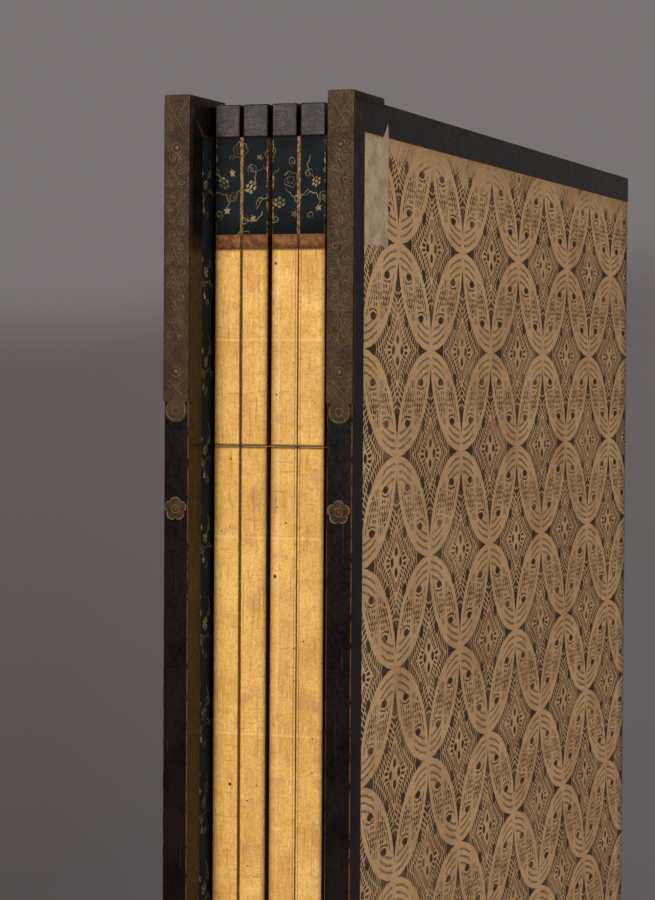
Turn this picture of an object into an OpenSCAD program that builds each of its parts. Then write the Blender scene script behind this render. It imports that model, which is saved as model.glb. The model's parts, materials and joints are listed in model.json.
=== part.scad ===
// Folding screen of six panels, folded up. A panel is a wooden lattice with paper on both faces,
// a lacquered rail at its top and bottom, and a gilded front with a brocade border. Paper hinges
// join the panels edge to edge, and each end panel has one lacquered stile with metal fittings.
// Millimetres, +Z up. The origin is the bottom centre of the folded stack. X runs along a panel's
// width, from the end stiles (-X) to the plain edges (+X), and Y runs through the stack.

/* [Screen] */
// Height of a panel, from the floor to the top of its rail
panel_h = 1700; // [1200:10:2000]
// Width of an inner panel
panel_w = 590; // [450:10:720]
// How far an end stile stands out past the inner panels when the screen is folded
stile_reach = 30; // [24:1:60]

/* [Frame] */
// Thickness of the rails and stiles
rail_t = 14; // [12:0.2:24]
// Height of a rail
rail_h = 17.4; // [12:0.2:28]
// Width of an end stile
stile_w = 18; // [12:0.5:23]
// Chamfer along the edges of the rails and stiles
edge_chamfer = 0.7; // [0.2:0.1:1.5]
// How far a rail's ends stand out past the papered edges of its panel
rail_proud = 1; // [0.2:0.1:2]

/* [Lattice] */
// Width of the lattice's outer members
lattice_edge_w = 16; // [8:1:30]
// Width of a rib
rib_w = 8; // [5:1:15]
// Widest cell allowed between two ribs
cell_max = 150; // [90:5:165]

/* [Papers] */
// Thickness of the papers and the brocade on each face
paper_t = 0.5; // [0.3:0.1:1]
// How far the papers lie below the faces of the rails
paper_sink = 0.3; // [0.3:0.1:0.8]
// Width of the brocade border
border_w = 51.6; // [20:0.1:90]
// Width of the narrow border inside the brocade
inner_border_w = 7.5; // [3:0.1:15]
// Thickness of the hinge paper on a panel's edge
leaf_t = 0.6; // [0.3:0.1:1]
// How far the hinge paper runs onto the front
leaf_return = 10; // [5:1:25]
// Height of the first and the last hinge leaf of an edge
end_leaf_h = 164; // [80:1:300]
// Number of longer hinge leaves between them
long_leaves = 3; // [1:1:7]
// Cut between two hinge leaves
leaf_seam = 0.5; // [0.2:0.1:2]

/* [Folding] */
// From a rail's end to its hinge line
hinge_gap = 0.3; // [0.2:0.1:1]
// Gap between the rails of two panels folded back to back
back_gap = 2; // [0.6:0.1:4]
// Gap between the rails of an end panel and its neighbour, folded front to front
outer_gap = 1.9; // [1.2:0.1:4]
// Gap between the rails of the two middle panels, folded front to front
middle_gap = 2.4; // [1:0.1:5]
// From the fold of a hinge paper to the line it turns on
fold_clear = 0.15; // [0.05:0.05:0.3]
// Angle at which the first end panel stands ajar
ajar = 1.01; // [0:0.01:3]

/* [Fittings] */
// Thickness of a stile's metal strap
strap_t = 0.8; // [0.5:0.1:1.5]
// Length of a strap, with its round end
strap_len = 168.6; // [100:0.1:300]
// Radius of a strap's round end
lobe_r = 6.2; // [3:0.1:6.5]
// How much of the round end shows past the strap's straight part
lobe_shown = 10.6; // [7:0.1:12]
// Width of the raised rim round a strap's straight part
rim_w = 1.2; // [0.6:0.1:2]
// Height of that rim
rim_h = 0.4; // [0.2:0.1:0.8]
// Thickness of the metal turned onto the sides of the stile
wrap_t = 0.2; // [0.2:0.1:1]
// How far the metal is turned onto the sides
wrap_w = 3.5; // [2:0.1:6]
// Length of the cap that runs along the rail from the corner
cap_len = 49; // [30:1:90]
// Thickness of the cap
cap_t = 3; // [1.5:0.1:5]
// Clear height under the strap at the foot of a stile
foot_clear = 2; // [1:0.5:6]
// Diameter of a blossom nail cover
blossom_d = 13.1; // [8:0.1:14]
// Thickness of a blossom nail cover
blossom_t = 1.6; // [1.2:0.1:3]
// From a panel's end to the centre of a blossom
blossom_drop = 214; // [190:1:400]
// Diameter of a nail's head
nail_head_d = 3.2; // [2:0.1:5]
// Thickness of a nail's head
nail_head_t = 0.7; // [0.4:0.1:1.5]
// Diameter of a nail's shank
nail_d = 1.6; // [1:0.1:2]
// Length of a nail's shank
nail_len = 11; // [6:1:12]
// Room round a nail's shank
nail_clear = 0.05; // [0.02:0.01:0.2]
// From a panel's end to the first nail of a strap
first_nail = 25; // [15:1:50]
// From a panel's end to the second nail of a strap
second_nail = 142; // [60:1:146]

/* [Label] */
// Width of the blank paper slip on the first panel's back
label_w = 42; // [20:1:80]
// Height of the slip
label_h = 59; // [20:1:120]
// Thickness of the slip
label_t = 0.2; // [0.1:0.05:0.3]

/* [Hidden] */
$fn = 48;
panels = 6;
over = 1; // how far a cutting shape runs past what it cuts

// Across the width
end_panel_w = panel_w + stile_reach;
proud_t = max(strap_t + rim_h, blossom_t); // metal in front of a stile
plain_x = (end_panel_w + proud_t) / 2; // plain edges of all the panels
stile_x = plain_x - end_panel_w; // outer face of the end stiles
inner_x = plain_x - panel_w; // the inner panels' other edges
edge_b = plain_x - rail_proud - leaf_t; // where the papers end, under the hinge paper

// Through a panel, with its front towards +Y
half_t = rail_t / 2;
sheet_y = half_t - paper_sink; // outer face of the papers
lattice_t = 2 * (sheet_y - paper_t);
strap_w = rail_t + 2 * wrap_t;

// Through the stack
function gap_after(i) = i == 3 ? middle_gap : i % 2 == 0 ? back_gap : outer_gap;
function stacked_y(i) = i == 1 ? 0 : stacked_y(i - 1) + rail_t + gap_after(i - 1);
ajar_pivot_y = half_t + outer_gap / 2;
ajar_swing = (end_panel_w + hinge_gap) * sin(ajar) + (rail_t + outer_gap / 2 + wrap_t) * cos(ajar);
stack_low = ajar_pivot_y - ajar_swing;
stack_high = stacked_y(panels) + half_t + wrap_t;
function panel_y(i) = stacked_y(i) - (stack_low + stack_high) / 2;

// Up a panel
paper_top = panel_h - rail_h;
strap_straight = strap_len - lobe_shown;
long_leaf_h = (paper_top - rail_h - 2 * end_leaf_h) / long_leaves;
leaf_ends = [
    rail_h,
    for (k = [0:long_leaves]) rail_h + end_leaf_h + k * long_leaf_h,
    paper_top
];

function is_end(i) = i == 1 || i == panels;
function rail_a(i) = is_end(i) ? stile_x : inner_x;
function edge_a(i) = is_end(i) ? stile_x + stile_w : inner_x + rail_proud + leaf_t;
function in_panel(i, part) = str("panel_", i, "_", part);

PANEL_PARTS = [
    "lattice", "gilt_front", "printed_back", "top_rail", "bottom_rail",
    "brocade_border", "inner_border", "hinge_leaves"
];
END_PARTS = [
    "end_stile", "top_corner_fitting", "bottom_strap", "blossom_nail_covers", "fitting_nails"
];

lacquer = [0.07, 0.06, 0.06];
worn_lacquer = [0.16, 0.13, 0.12];
cedar = [0.72, 0.55, 0.36];
gold = [0.78, 0.58, 0.26];
printed_paper = [0.66, 0.53, 0.37];
navy = [0.09, 0.13, 0.20];
copper_brown = [0.42, 0.25, 0.13];
old_brass = [0.42, 0.34, 0.19];
slip_paper = [0.74, 0.70, 0.62];

// --- Placing ---------------------------------------------------------------------------------

// Carries a panel drawn round y = 0, with its front towards +Y, to its place in the stack.
module at_panel(i) {
    turn = i == 1 ? ajar : 0;
    pivot = [plain_x + hinge_gap, panel_y(1) + ajar_pivot_y, 0];
    translate(pivot) rotate(turn) translate(-pivot)
        translate([0, panel_y(i), 0]) mirror([0, i % 2 == 0 ? 1 : 0, 0]) children();
}

// Extrudes an outline in X and Z through the thickness t, centred on y.
module through_y(t, y = 0) {
    translate([0, y, 0]) rotate([90, 0, 0]) linear_extrude(t, center = true) children();
}

// Extrudes an outline in Y and Z along X, from x.
module along_x(x, length) {
    translate([x, 0, 0]) rotate([90, 0, 90]) linear_extrude(length) children();
}

// A rectangle with its corners cut off.
module chamfered(size, cut = edge_chamfer) {
    x = size[0];
    y = size[1];
    polygon([
        [cut, 0], [x - cut, 0], [x, cut], [x, y - cut],
        [x - cut, y], [cut, y], [0, y - cut], [0, cut]
    ]);
}

// --- Wooden parts ----------------------------------------------------------------------------

// Lattice of strips with half-lapped ribs, glued into one frame.
module lattice(i) {
    x0 = edge_a(i);
    width = edge_b - x0;
    height = paper_top - rail_h;
    columns = ceil((width - 2 * lattice_edge_w) / cell_max);
    rows = ceil((height - 2 * lattice_edge_w) / cell_max);
    cell_w = (width - 2 * lattice_edge_w - (columns - 1) * rib_w) / columns;
    cell_h = (height - 2 * lattice_edge_w - (rows - 1) * rib_w) / rows;
    color(cedar) through_y(lattice_t) translate([x0, rail_h]) difference() {
        square([width, height]);
        for (c = [0:columns - 1], r = [0:rows - 1])
            translate([
                lattice_edge_w + c * (cell_w + rib_w),
                lattice_edge_w + r * (cell_h + rib_w)
            ]) square([cell_w, cell_h]);
    }
}

// Outline of a top rail in X and Z: mitred where it meets a stile, chamfered at a free end.
module rail_outline(i) {
    c = edge_chamfer;
    free_end = [[plain_x, paper_top + c], [plain_x, panel_h - c], [plain_x - c, panel_h]];
    mitre = [[stile_x, panel_h], [stile_x + stile_w, paper_top]];
    square_end = [
        [inner_x + c, panel_h], [inner_x, panel_h - c],
        [inner_x, paper_top + c], [inner_x + c, paper_top]
    ];
    polygon(concat([[plain_x - c, paper_top]], free_end, is_end(i) ? mitre : square_end));
}

// Top rail: a bar chamfered along its length and at its free ends.
module top_rail(i) {
    x0 = rail_a(i);
    length = plain_x - x0;
    color(is_end(i) ? lacquer : worn_lacquer) intersection() {
        along_x(x0 - over, length + 2 * over)
            translate([-half_t, paper_top]) chamfered([rail_t, rail_h]);
        through_y(rail_t + 2 * over) rail_outline(i);
        translate([x0, -half_t, paper_top - over])
            linear_extrude(rail_h + 2 * over) chamfered([length, rail_t]);
    }
}

// Bottom rail: the top rail upside down.
module bottom_rail(i) {
    translate([0, 0, panel_h]) mirror([0, 0, 1]) top_rail(i);
}

// Places its children at the nails of both straps of a stile.
module at_nails() {
    for (z = [first_nail, second_nail, panel_h - second_nail, panel_h - first_nail])
        translate([stile_x, 0, z]) rotate([0, 90, 0]) children();
}

// Places its children at the blossom nail covers of a stile.
module at_blossoms() {
    for (z = [blossom_drop, panel_h - blossom_drop])
        translate([stile_x, 0, z]) rotate([0, 90, 0]) children();
}

// Bore for a nail's shank, from in front of the stile to the shank's tip.
module nail_bore() {
    translate([0, 0, -proud_t - over]) cylinder(r = nail_d / 2 + nail_clear,
        h = proud_t + over + nail_len + nail_clear);
}

// End stile: mitred to both rails, and bored for its nails.
module end_stile() {
    color(lacquer) difference() {
        intersection() {
            translate([stile_x, -half_t, 0]) linear_extrude(panel_h) chamfered([stile_w, rail_t]);
            through_y(rail_t + 2 * over) polygon([
                [stile_x, 0], [stile_x + stile_w, rail_h],
                [stile_x + stile_w, paper_top], [stile_x, panel_h]
            ]);
        }
        at_nails() nail_bore();
        at_blossoms() nail_bore();
    }
}

// --- Papers ----------------------------------------------------------------------------------

// A panel's papered face in X and Z, drawn in from the rails and from an end stile by inset.
module face(i, inset = 0, past = 0) {
    x0 = edge_a(i) + (is_end(i) ? inset : -past);
    translate([x0, rail_h + inset]) square([edge_b + past - x0, paper_top - rail_h - 2 * inset]);
}

// Puts a sheet in the front layer.
module on_front() {
    through_y(paper_t, sheet_y - paper_t / 2) children();
}

// Band of the front between two insets.
module front_band(i, outer, inner) {
    on_front() difference() {
        face(i, outer);
        face(i, inner, over);
    }
}

module brocade_border(i) {
    color(navy) front_band(i, 0, border_w);
}

module inner_border(i) {
    color(copper_brown) front_band(i, border_w, border_w + inner_border_w);
}

module gilt_front(i) {
    color(gold) on_front() face(i, border_w + inner_border_w);
}

module printed_back(i) {
    color(printed_paper) through_y(paper_t, -sheet_y + paper_t / 2) face(i);
}

// Section of a hinge paper in X and Y: across the panel's edge from low to high, and onto
// the front.
module leaf_section(low, high) {
    translate([0, low]) square([leaf_t, high - low]);
    translate([0, sheet_y]) square([leaf_return, half_t - sheet_y]);
}

// The leaves on one edge of a panel, one above the other.
module edge_leaves(low, high) {
    last = len(leaf_ends) - 2;
    for (k = [0:last]) {
        foot = leaf_ends[k] + (k > 0 ? leaf_seam / 2 : 0);
        head = leaf_ends[k + 1] - (k < last ? leaf_seam / 2 : 0);
        translate([0, 0, foot]) linear_extrude(head - foot) leaf_section(low, high);
    }
}

// Hinge papers of a panel. Where it joins its neighbour, they stand up to the line they turn
// on. An end panel has them only on its plain edge.
module hinge_leaves(i) {
    front_gap = gap_after(i % 2 == 1 ? i : i - 1);
    color(gold) {
        translate([plain_x - rail_proud, 0, 0]) mirror([1, 0, 0])
            edge_leaves(-sheet_y, half_t + front_gap / 2 - fold_clear);
        if (!is_end(i)) translate([inner_x + rail_proud, 0, 0])
            edge_leaves(-half_t - back_gap / 2 + fold_clear, half_t);
    }
}

// Blank slip on the back, tucked into the corner under the rail and beside the stile.
module label_slip() {
    color(slip_paper) through_y(label_t, -sheet_y - label_t / 2)
        translate([edge_a(1), paper_top - label_h]) square([label_w, label_h]);
}

// --- Metal parts -----------------------------------------------------------------------------

// Straight part of a strap in Y and Z, drawn in by inset: it hangs from z = 0 and may rise above it.
module strap_plate(rise, inset = 0) {
    translate([-strap_w / 2 + inset, -strap_straight + inset])
        chamfered([strap_w - 2 * inset, strap_straight + rise - 2 * inset]);
}

// Strap that hangs from z = 0 on the face of a stile, with a round end and a raised rim,
// and its edges turned onto the stile's sides.
module strap(rise = 0) {
    along_x(stile_x - strap_t, strap_t) {
        strap_plate(rise);
        translate([0, -strap_len + lobe_r]) circle(lobe_r);
    }
    along_x(stile_x - strap_t - rim_h, rim_h + strap_t / 2) difference() {
        strap_plate(rise);
        strap_plate(rise, rim_w);
    }
    for (side = [0, 1]) mirror([0, side, 0])
        translate([stile_x - strap_t, half_t, -strap_straight + edge_chamfer])
            cube([strap_t + wrap_w, wrap_t, strap_straight - 2 * edge_chamfer]);
}

// Cap that runs from the corner along the top of the rail, with its edges turned down.
module corner_cap() {
    length = strap_t + cap_len;
    along_x(stile_x - strap_t, length) polygon([
        [-strap_w / 2, -wrap_w / 2], [-half_t, -wrap_w / 2], [-half_t, 0],
        [half_t, 0], [half_t, -wrap_w / 2], [strap_w / 2, -wrap_w / 2],
        [strap_w / 2, cap_t - edge_chamfer], [strap_w / 2 - edge_chamfer, cap_t],
        [-strap_w / 2 + edge_chamfer, cap_t], [-strap_w / 2, cap_t - edge_chamfer]
    ]);
}

module top_corner_fitting() {
    color(old_brass) difference() {
        translate([0, 0, panel_h]) {
            strap(cap_t);
            corner_cap();
        }
        at_nails() nail_bore();
    }
}

module bottom_strap() {
    color(old_brass) difference() {
        mirror([0, 0, 1]) translate([0, 0, -foot_clear]) strap();
        at_nails() nail_bore();
    }
}

// Round-headed nails through the straps.
module fitting_nails() {
    color(old_brass) at_nails() {
        translate([0, 0, -strap_t - nail_head_t]) cylinder(d = nail_head_d, h = nail_head_t);
        translate([0, 0, -strap_t - nail_head_t / 2])
            cylinder(d = nail_d, h = strap_t + nail_head_t / 2 + nail_len);
    }
}

// Plum-blossom covers: five round petals and a centre, on a nail's shank.
module blossom_nail_covers() {
    petal_r = blossom_d * 0.2;
    color(old_brass) at_blossoms() {
        translate([0, 0, -blossom_t * 0.7]) linear_extrude(blossom_t * 0.7) {
            for (k = [0:4]) rotate(180 + 72 * k)
                translate([blossom_d / 2 - petal_r, 0]) circle(petal_r);
            circle(petal_r * 1.3);
        }
        translate([0, 0, -blossom_t]) cylinder(r = petal_r * 0.6, h = blossom_t);
        cylinder(d = nail_d, h = nail_len);
    }
}

// --- The screen ------------------------------------------------------------------------------

for (i = [1:panels]) {
    at_panel(i) lattice(i);
    at_panel(i) gilt_front(i);
    at_panel(i) printed_back(i);
    at_panel(i) top_rail(i);
    at_panel(i) bottom_rail(i);
    at_panel(i) brocade_border(i);
    at_panel(i) inner_border(i);
    at_panel(i) hinge_leaves(i);
}
for (i = [1, panels]) {
    at_panel(i) end_stile();
    at_panel(i) top_corner_fitting();
    at_panel(i) bottom_strap();
    at_panel(i) blossom_nail_covers();
    at_panel(i) fitting_nails();
}
at_panel(1) label_slip();
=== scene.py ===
"""Folding screen of six gilded panels, folded up: the finished look of every piece, built round the
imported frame. Shapes are drawn in millimetres in a panel's own space, where the panel stands round
y = 0 with its front towards +Y, and are then carried to the panel's place in metres."""

import json
import math

import bmesh
import bpy
from mathutils import Matrix, Vector, noise
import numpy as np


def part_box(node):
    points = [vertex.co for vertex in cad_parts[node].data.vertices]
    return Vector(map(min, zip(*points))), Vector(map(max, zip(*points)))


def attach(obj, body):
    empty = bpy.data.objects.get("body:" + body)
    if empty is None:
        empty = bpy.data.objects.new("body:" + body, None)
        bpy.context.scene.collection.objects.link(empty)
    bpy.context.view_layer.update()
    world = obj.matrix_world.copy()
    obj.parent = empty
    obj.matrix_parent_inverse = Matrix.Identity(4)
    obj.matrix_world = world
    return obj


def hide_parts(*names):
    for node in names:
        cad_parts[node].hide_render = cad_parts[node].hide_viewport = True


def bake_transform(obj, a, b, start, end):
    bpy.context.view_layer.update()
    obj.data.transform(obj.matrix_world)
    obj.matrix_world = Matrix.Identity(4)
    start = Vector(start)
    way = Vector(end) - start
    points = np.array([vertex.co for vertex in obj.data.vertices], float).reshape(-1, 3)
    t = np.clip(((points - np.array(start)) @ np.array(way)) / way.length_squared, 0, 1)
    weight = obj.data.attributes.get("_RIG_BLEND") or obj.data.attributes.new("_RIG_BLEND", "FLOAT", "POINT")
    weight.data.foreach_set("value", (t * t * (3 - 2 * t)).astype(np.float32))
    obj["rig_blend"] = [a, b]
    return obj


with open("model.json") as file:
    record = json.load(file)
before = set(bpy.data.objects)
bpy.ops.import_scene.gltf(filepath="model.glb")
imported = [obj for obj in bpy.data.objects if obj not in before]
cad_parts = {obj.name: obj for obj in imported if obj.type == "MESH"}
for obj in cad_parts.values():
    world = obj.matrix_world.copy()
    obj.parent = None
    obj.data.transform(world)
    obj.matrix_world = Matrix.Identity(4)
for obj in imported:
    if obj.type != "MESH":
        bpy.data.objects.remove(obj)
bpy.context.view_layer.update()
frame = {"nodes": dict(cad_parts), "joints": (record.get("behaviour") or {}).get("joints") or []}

MM = 0.001
TURN = 2 * math.pi
PANELS = range(1, 7)
END_PANELS = (1, 6)


def corners(node):
    """Lowest and highest corner of a CAD node, in millimetres."""
    low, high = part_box(node)
    return low / MM, high / MM


# --- Sizes, in millimetres ---

rail_low, rail_high = corners("panel_3_top_rail")
stile_low, stile_high = corners("panel_6_end_stile")
back_low, back_high = corners("panel_3_printed_back")
end_back_low, _ = corners("panel_6_printed_back")
_, band_high = corners("panel_3_inner_border")
_, gold_high = corners("panel_3_gilt_front")

INNER_X = rail_low.x
PLAIN_X = rail_high.x
PAPER_TOP = rail_low.z
PANEL_H = rail_high.z
RAIL_H = PANEL_H - PAPER_TOP
HALF_T = (rail_high.y - rail_low.y) / 2
STILE_X = stile_low.x
STILE_W = stile_high.x - stile_low.x
EDGE_A = back_low.x
EDGE_B = back_high.x
END_EDGE_A = end_back_low.x
BORDER_W = PAPER_TOP - band_high.z
BORDERS_W = PAPER_TOP - gold_high.z

AJAR = math.radians(1.01)
EDGE_ROUND = 0.7
MITRE_GAP = 0.12
PAPER_T = 0.5
SHEET_Y = HALF_T - 0.3
LEAF_T = 0.6
LEAF_ROUND = 0.5
LEAF_RETURN = 10.0
LEAF_SEAM = 0.5
END_LEAF_H = 164.0
LONG_LEAVES = 3
RAIL_PROUD = 1.0
FOLD_CLEAR = 0.15
SPINE_T = 0.25
RIB_COLUMNS = 4
RIB_ROWS = 11
SWELL = 0.16

STRAP_T = 0.8
RIDGE_H = 0.16
RIM_H = 0.4
RIM_W = 1.2
WRAP_T = 0.2
WRAP_W = 3.5
STRAP_HALF_W = HALF_T + WRAP_T
STRAP_LEN = 168.6
LOBE_SHOWN = 10.6
LOBE_R = 6.2
CAP_LEN = 49.0
CAP_T = 3.0
FOOT_CLEAR = 2.0
NAIL_DROPS = (25.0, 142.0)
NAIL_HEAD_R = 1.6
NAIL_HEAD_T = 0.7
NAIL_LEN = 11.0
BLOSSOM_R = 6.55
BLOSSOM_T = 1.6
BLOSSOM_DROP = 214.0
LABEL_W = 42.0
LABEL_H = 59.0

hinges = {j["name"]: Vector(j["pos_m"]) / MM for j in frame["joints"]}


def fold_between(i):
    """The hinge line of panel i and the next one."""
    return hinges[f"fold_{i}_{i + 1}"]


def panel_y(i):
    """Where the middle of panel i's thickness lies in the folded stack."""
    if i == 1:
        neighbour_low, _ = corners("panel_2_top_rail")
        return 2 * fold_between(1).y - neighbour_low.y - HALF_T
    low, high = corners(f"panel_{i}_top_rail")
    return (low.y + high.y) / 2


def place(i):
    """Carries a shape from panel i's own space to the row frame, and from millimetres to metres."""
    facing = Matrix.Diagonal((1, -1 if i % 2 == 0 else 1, 1, 1))
    put = Matrix.Translation((0, panel_y(i), 0)) @ facing
    if i == 1:
        pivot = fold_between(1)
        turn = Matrix.Rotation(AJAR, 4, "Z")
        put = Matrix.Translation(pivot) @ turn @ Matrix.Translation(-pivot) @ put
    return Matrix.Scale(MM, 4) @ put


def edge_a(i):
    """Where panel i's papers begin, on the side away from the plain edges."""
    return END_EDGE_A if i in END_PANELS else EDGE_A


def gap_half(i, front):
    """From the face of panel i's rails to the hinge line on its front or, if not front, its back."""
    near = i if (i % 2 == 1) == front else i - 1
    return abs(fold_between(near).y - panel_y(i)) - HALF_T


# --- Camera ---

CAMERA_PLACE = Vector((-1.651, -0.532, 1.557))
CAMERA_YAW = 0.352
CAMERA_PITCH = -0.0272
CAMERA_ROLL = -0.0061
CAMERA_LENS = 111.09


def add_camera():
    """A long lens at the height of the fittings, level but for a degree."""
    ahead = Vector((
        math.cos(CAMERA_PITCH) * math.cos(CAMERA_YAW),
        math.cos(CAMERA_PITCH) * math.sin(CAMERA_YAW),
        math.sin(CAMERA_PITCH),
    ))
    right = Vector((math.sin(CAMERA_YAW), -math.cos(CAMERA_YAW), 0))
    up = right.cross(ahead)
    rolled_right = math.cos(CAMERA_ROLL) * right - math.sin(CAMERA_ROLL) * up
    rolled_up = math.sin(CAMERA_ROLL) * right + math.cos(CAMERA_ROLL) * up
    data = bpy.data.cameras.new("camera")
    data.lens = CAMERA_LENS
    data.clip_end = 60
    camera = bpy.data.objects.new("camera", data)
    bpy.context.scene.collection.objects.link(camera)
    axes = Matrix((rolled_right, rolled_up, -ahead)).transposed()
    camera.matrix_world = Matrix.Translation(CAMERA_PLACE) @ axes.to_4x4()
    bpy.context.scene.camera = camera


add_camera()


# --- Arithmetic in shaders ---


class Field:
    """A number, colour or vector that a shader works out at every point."""

    def __init__(self, tree, socket):
        self.tree = tree
        self.socket = socket

    def math(self, operation, *others):
        """One Math node over this field and the others."""
        made = self.tree.nodes.new("ShaderNodeMath")
        made.operation = operation
        for slot, value in zip(made.inputs, (self, *others)):
            wire(self.tree, value, slot)
        return Field(self.tree, made.outputs[0])

    def __add__(self, other):
        return self.math("ADD", other)

    def __sub__(self, other):
        return self.math("SUBTRACT", other)

    def __mul__(self, other):
        return self.math("MULTIPLY", other)

    def __truediv__(self, other):
        return self.math("DIVIDE", other)

    def __abs__(self):
        return self.math("ABSOLUTE")

    def __and__(self, other):
        return self.math("MULTIPLY", other)

    def __or__(self, other):
        return self.math("MAXIMUM", other)

    def floor(self):
        return self.math("FLOOR")

    def fract(self):
        return self.math("FRACT")

    def sine(self):
        return self.math("SINE")

    def wrapped(self, size):
        """What is left of this number within a repeat of the given size."""
        return self.math("FLOORED_MODULO", size)

    def angle_to(self, other):
        """The angle of the direction (other, self), in radians."""
        return self.math("ARCTAN2", other)

    def scaled(self, low, high, to_low=0.0, to_high=1.0, smooth=True):
        """This number, stretched so that low becomes to_low and high becomes to_high."""
        made = self.tree.nodes.new("ShaderNodeMapRange")
        made.interpolation_type = "SMOOTHSTEP" if smooth else "LINEAR"
        for slot, value in zip(made.inputs, (self, low, high, to_low, to_high)):
            wire(self.tree, value, slot)
        return Field(self.tree, made.outputs[0])

    def above(self, limit, soft):
        """1 where this number is over limit, fading to 0 within soft of it."""
        return self.scaled(limit - soft, limit + soft)

    def below(self, limit, soft):
        """1 where this number is under limit, fading to 0 within soft of it."""
        return self.scaled(limit - soft, limit + soft, 1.0, 0.0)

    def between(self, low, high, soft):
        """1 from low to high, fading to 0 within soft of either."""
        return self.above(low, soft) & self.below(high, soft)

    def stripes(self, period, share, soft=0.08):
        """1 on stripes that take up a share of each period."""
        middle = abs((self / period).fract() - 0.5)
        return middle.below(share / 2, soft)


def wire(tree, value, slot):
    """Gives a shader input a field or a plain value."""
    if isinstance(value, Field):
        tree.links.new(value.socket, slot)
    else:
        slot.default_value = value


def mixed(tree, share, first, second):
    """The first colour where share is 0, the second where it is 1."""
    node = tree.nodes.new("ShaderNodeMix")
    node.data_type = "RGBA"
    for slot, value in zip((0, 6, 7), (share, first, second)):
        wire(tree, value, node.inputs[slot])
    return Field(tree, node.outputs[2])


def srgb(red, green, blue):
    """A colour as it looks on a screen, from 0 to 255, as a linear one."""
    def linear(level):
        level /= 255
        return level / 12.92 if level <= 0.04045 else ((level + 0.055) / 1.055) ** 2.4
    return (linear(red), linear(green), linear(blue), 1.0)


class Paint:
    """One material. Its coordinates are millimetres."""

    def __init__(self, name, **constants):
        self.material = bpy.data.materials.new(name)
        self.material.use_nodes = True
        self.tree = self.material.node_tree
        self.shader = self.tree.nodes["Principled BSDF"]
        for slot, value in constants.items():
            self.shader.inputs[slot.replace("_", " ")].default_value = value

    def made(self, kind, output=0, settings=(), inputs=()):
        """One output of a new node, with its settings and its inputs wired."""
        node = self.tree.nodes.new("ShaderNode" + kind)
        for name, value in dict(settings).items():
            setattr(node, name, value)
        for name, value in dict(inputs).items():
            wire(self.tree, value, node.inputs[name])
        return Field(self.tree, node.outputs[output])

    def spot(self, x, y, z=0.0):
        """A point from its coordinates."""
        return self.made("CombineXYZ", inputs={0: x, 1: y, 2: z})

    def on_sheet(self):
        """The coordinates of a piece's own map, across and up, and the spot with its panel's lot, so
        that no two panels are stained alike."""
        mapped = self.made("UVMap", settings={"uv_map": "sheet"})
        node = self.tree.nodes.new("ShaderNodeSeparateXYZ")
        self.tree.links.new(mapped.socket, node.inputs[0])
        x, z = Field(self.tree, node.outputs[0]), Field(self.tree, node.outputs[1])
        return x, z, self.spot(x, z, self.attribute("lot"))

    def in_space(self):
        """Place in the frame, in millimetres."""
        place_here = self.made("TexCoord", "Object")
        return self.stretched(place_here, (1 / MM, 1 / MM, 1 / MM))

    def stretched(self, at, by):
        """A point with each coordinate multiplied, which stretches a pattern where by is small."""
        return self.made("VectorMath", settings={"operation": "MULTIPLY"}, inputs={0: at, 1: by})

    def length(self, x, y):
        """How far (x, y) is from the origin."""
        return self.made(
            "VectorMath", "Value", settings={"operation": "LENGTH"}, inputs={0: self.spot(x, y)}
        )

    def distance(self, at, x, y):
        """How far a point is from the fixed spot (x, y)."""
        return self.made(
            "VectorMath", "Value", settings={"operation": "DISTANCE"}, inputs={0: at, 1: (x, y, 0)}
        )

    def noise(self, at, size, detail=2.0, roughness=0.5, by=None):
        """Cloudy noise, with clouds about size across, drawn out where by is small."""
        at = self.stretched(at, by) if by else at
        return self.made(
            "TexNoise",
            inputs={"Vector": at, "Scale": 1 / size, "Detail": detail, "Roughness": roughness},
        )

    def specks(self, at, spacing, radius, share):
        """Small round specks, in a share of the cells that are spacing across."""
        cell = self.tree.nodes.new("ShaderNodeTexVoronoi")
        wire(self.tree, at, cell.inputs["Vector"])
        cell.inputs["Scale"].default_value = 1 / spacing
        lot = self.tree.nodes.new("ShaderNodeSeparateColor")
        self.tree.links.new(cell.outputs["Color"], lot.inputs[0])
        near = Field(self.tree, cell.outputs["Distance"]).below(radius / spacing, radius / spacing / 3)
        return near & Field(self.tree, lot.outputs[0]).below(share, 0.01)

    def attribute(self, name):
        """A number that the piece's mesh carries at every vertex."""
        return self.made("Attribute", "Fac", settings={"attribute_name": name})

    def mix(self, share, first, second):
        """The first colour where share is 0, the second where it is 1."""
        return mixed(self.tree, share, first, second)

    def ground(self, cloud, first, second, low=0.3):
        """Two screen colours, clouded into each other."""
        return self.mix(cloud.scaled(low, 1 - low), srgb(*first), srgb(*second))

    def over(self, colour, *coats):
        """A colour with coats laid over it in turn, each (share, its screen colour)."""
        for share, coat in coats:
            colour = self.mix(share, colour, srgb(*coat))
        return colour

    def done(self, colour, roughness, height=None, depth=0.1):
        """Sets the colour and roughness, and bumps the surface by depth millimetres of height."""
        wire(self.tree, colour, self.shader.inputs["Base Color"])
        wire(self.tree, roughness, self.shader.inputs["Roughness"])
        if height is not None:
            bump = self.tree.nodes.new("ShaderNodeBump")
            bump.inputs["Distance"].default_value = depth * MM
            wire(self.tree, height, bump.inputs["Height"])
            self.tree.links.new(bump.outputs[0], self.shader.inputs["Normal"])
        return self.material


def flipped(share, flip):
    """share, or 1 - share where flip is 1."""
    return share + flip * (share * -2.0 + 1.0)


# --- Finishes ---


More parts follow.
